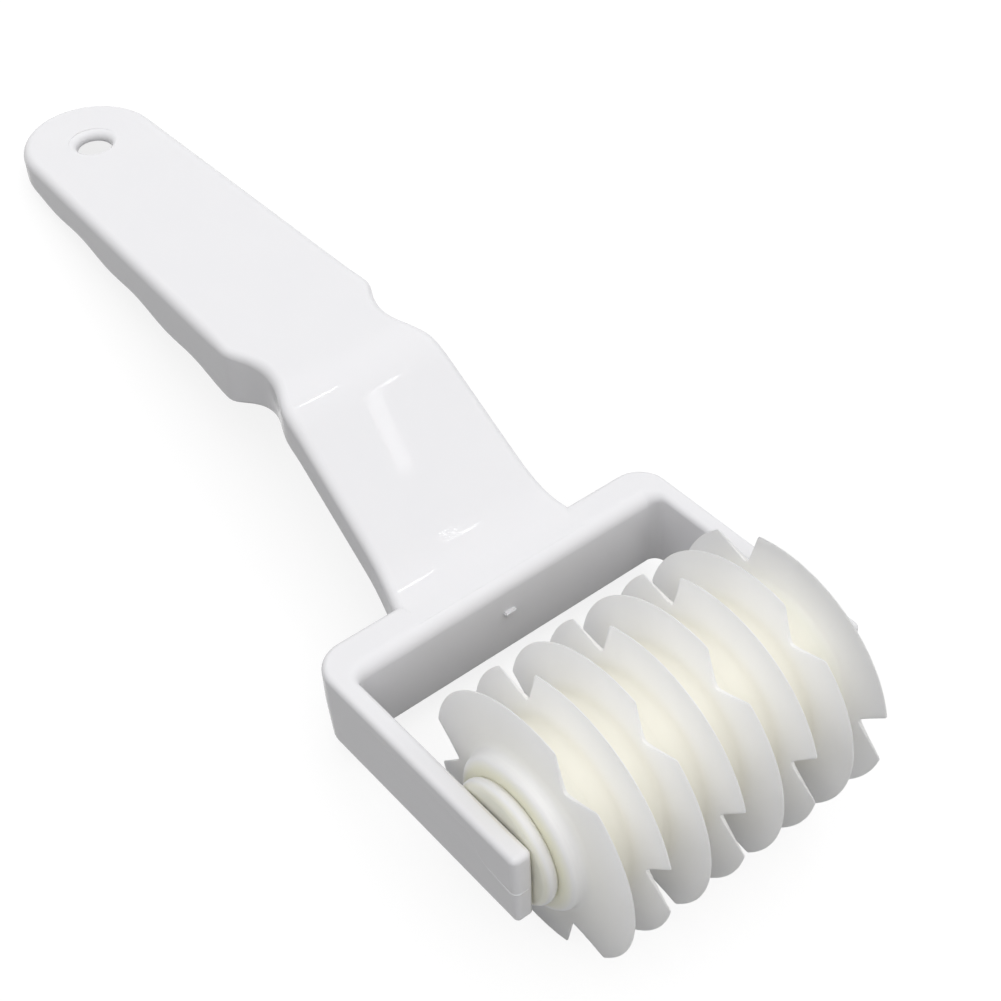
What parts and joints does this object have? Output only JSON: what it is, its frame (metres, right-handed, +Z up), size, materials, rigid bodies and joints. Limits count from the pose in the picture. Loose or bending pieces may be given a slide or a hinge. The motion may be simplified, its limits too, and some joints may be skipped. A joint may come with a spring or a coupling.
{
  "type": "lattice roller cutter",
  "caption": "Hand roller with notched plastic discs on a turning axle, held in a one-piece fork and handle with a hanging hole, for cutting a lattice in pastry dough.",
  "frame": {"origin": "middle of the footprint, on the surface that the roller and the handle end rest on", "axes": "+X along the roller axle, +Y from the roller towards the handle end, +Z up"},
  "size_m": [0.0676, 0.1928, 0.0436],
  "materials": {
    "white_plastic": "glossy moulded white plastic",
    "ivory_plastic": "satin, slightly clouded ivory plastic"
  },
  "bodies": {
    "frame": {"handle_frame": "white_plastic"},
    "roller": {"axle": "ivory_plastic", "end_collar_left": "ivory_plastic", "end_collar_right": "ivory_plastic", "cutter_disc_1": "ivory_plastic", "cutter_disc_2": "ivory_plastic", "cutter_disc_3": "ivory_plastic", "cutter_disc_4": "ivory_plastic", "cutter_disc_5": "ivory_plastic", "cutter_disc_6": "ivory_plastic", "cutter_disc_7": "ivory_plastic", "cutter_disc_8": "ivory_plastic"}
  },
  "joints": [
    {"name": "roller_spin", "type": "hinge", "parent": "frame", "child": "roller", "pos_m": [0, -0.07458, 0.02179], "axis": [1, 0, 0], "continuous": true}
  ]
}
